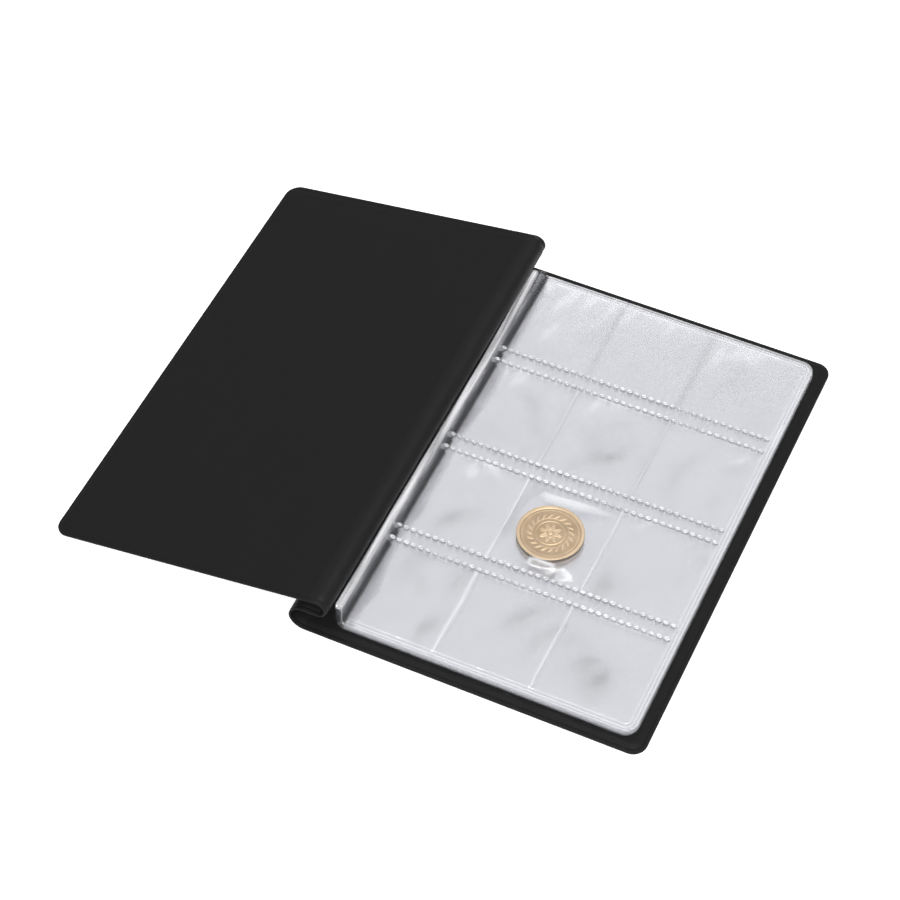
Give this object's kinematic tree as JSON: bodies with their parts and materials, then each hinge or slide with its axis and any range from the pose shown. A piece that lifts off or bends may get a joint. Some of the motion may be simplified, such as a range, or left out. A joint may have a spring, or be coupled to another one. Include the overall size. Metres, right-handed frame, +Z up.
{
  "type": "pocket coin album",
  "caption": "Small soft black coin album lying open, with clear leaves of square pockets that turn about the spine, a cover that folds shut and a small brass coin in a pocket.",
  "frame": {"origin": "on the underside of the back cover, under the hinge line, half way along the spine", "axes": "+X across the album towards the back cover's fore-edge, +Y along the spine towards its head, +Z up from the table"},
  "size_m": [0.1902, 0.159, 0.0161],
  "materials": {
    "black_cover": "soft matte black vinyl skin, fine grain",
    "black_lining": "soft matte black vinyl skin, fine grain, welded along its edge",
    "stiffener_board": "plain grey stiffener card, sealed between the skins",
    "clear_film": "clear glossy soft film",
    "clear_binding": "clear welded film, several layers thick",
    "coin_brass": "worn brass with a low relief"
  },
  "bodies": {
    "album_base": {"back_outer_skin": "black_cover", "back_board": "stiffener_board", "back_lining": "black_lining", "spine_roll": "black_cover", "hinge_lip": "black_cover", "page_binding": "clear_binding"},
    "gusset": {"cover_gusset": "black_cover"},
    "front_cover": {"front_shoulder": "black_cover", "front_lining": "black_lining", "front_board": "stiffener_board", "front_outer_skin": "black_cover"},
    "leaf_01": {"leaf_01_back_film": "clear_film", "leaf_01_front_film": "clear_film"},
    "leaf_02": {"leaf_02_back_film": "clear_film", "leaf_02_front_film": "clear_film"},
    "leaf_03": {"leaf_03_back_film": "clear_film", "leaf_03_front_film": "clear_film"},
    "leaf_04": {"leaf_04_back_film": "clear_film", "leaf_04_front_film": "clear_film"},
    "leaf_05": {"leaf_05_back_film": "clear_film", "leaf_05_front_film": "clear_film"},
    "leaf_06": {"leaf_06_back_film": "clear_film", "leaf_06_front_film": "clear_film"},
    "leaf_07": {"leaf_07_back_film": "clear_film", "leaf_07_front_film": "clear_film"},
    "leaf_08": {"leaf_08_back_film": "clear_film", "leaf_08_front_film": "clear_film"},
    "leaf_09": {"leaf_09_back_film": "clear_film", "leaf_09_front_film": "clear_film"},
    "leaf_10": {"leaf_10_back_film": "clear_film", "leaf_10_front_film": "clear_film"},
    "coin": {"coin": "coin_brass"}
  },
  "joints": [
    {"name": "cover_fold", "type": "hinge", "parent": "gusset", "child": "front_cover", "pos_m": [-0.00225, 0, 0.01563], "axis": [0, -1, 0], "range_deg": [-73.7, 0]},
    {"name": "gusset_fold", "type": "hinge", "parent": "album_base", "child": "gusset", "pos_m": [-0.0005, 0, 0.0126], "axis": [0, -1, 0], "range_deg": [-120, 0]},
    {"name": "leaf_01_turn", "type": "hinge", "parent": "album_base", "child": "leaf_01", "pos_m": [0.0012, 0, 0.0116], "axis": [0, -1, 0], "range_deg": [0, 179], "deforming": ["leaf_01_back_film", "leaf_01_front_film"]},
    {"name": "leaf_02_turn", "type": "hinge", "parent": "album_base", "child": "leaf_02", "pos_m": [0.0012, 0, 0.0116], "axis": [0, -1, 0], "range_deg": [0, 179], "deforming": ["leaf_02_back_film", "leaf_02_front_film"]},
    {"name": "leaf_03_turn", "type": "hinge", "parent": "album_base", "child": "leaf_03", "pos_m": [0.0012, 0, 0.0116], "axis": [0, -1, 0], "range_deg": [0, 179], "deforming": ["leaf_03_back_film", "leaf_03_front_film"]},
    {"name": "leaf_04_turn", "type": "hinge", "parent": "album_base", "child": "leaf_04", "pos_m": [0.0012, 0, 0.0116], "axis": [0, -1, 0], "range_deg": [0, 179], "deforming": ["leaf_04_back_film", "leaf_04_front_film"]},
    {"name": "leaf_05_turn", "type": "hinge", "parent": "album_base", "child": "leaf_05", "pos_m": [0.0012, 0, 0.0116], "axis": [0, -1, 0], "range_deg": [0, 179], "deforming": ["leaf_05_back_film", "leaf_05_front_film"]},
    {"name": "leaf_06_turn", "type": "hinge", "parent": "album_base", "child": "leaf_06", "pos_m": [0.0012, 0, 0.0116], "axis": [0, -1, 0], "range_deg": [0, 179], "deforming": ["leaf_06_back_film", "leaf_06_front_film"]},
    {"name": "leaf_07_turn", "type": "hinge", "parent": "album_base", "child": "leaf_07", "pos_m": [0.0012, 0, 0.0116], "axis": [0, -1, 0], "range_deg": [0, 179], "deforming": ["leaf_07_back_film", "leaf_07_front_film"]},
    {"name": "leaf_08_turn", "type": "hinge", "parent": "album_base", "child": "leaf_08", "pos_m": [0.0012, 0, 0.0116], "axis": [0, -1, 0], "range_deg": [0, 179], "deforming": ["leaf_08_back_film", "leaf_08_front_film"]},
    {"name": "leaf_09_turn", "type": "hinge", "parent": "album_base", "child": "leaf_09", "pos_m": [0.0012, 0, 0.0116], "axis": [0, -1, 0], "range_deg": [0, 179], "deforming": ["leaf_09_back_film", "leaf_09_front_film"]},
    {"name": "leaf_10_turn", "type": "hinge", "parent": "album_base", "child": "leaf_10", "pos_m": [0.0012, 0, 0.0116], "axis": [0, -1, 0], "range_deg": [0, 179], "deforming": ["leaf_10_back_film", "leaf_10_front_film"]},
    {"name": "coin_slide", "type": "slide", "parent": "leaf_01", "child": "coin", "axis": [0, 1, 0], "range_m": [-0.003, 0.005]}
  ]
}
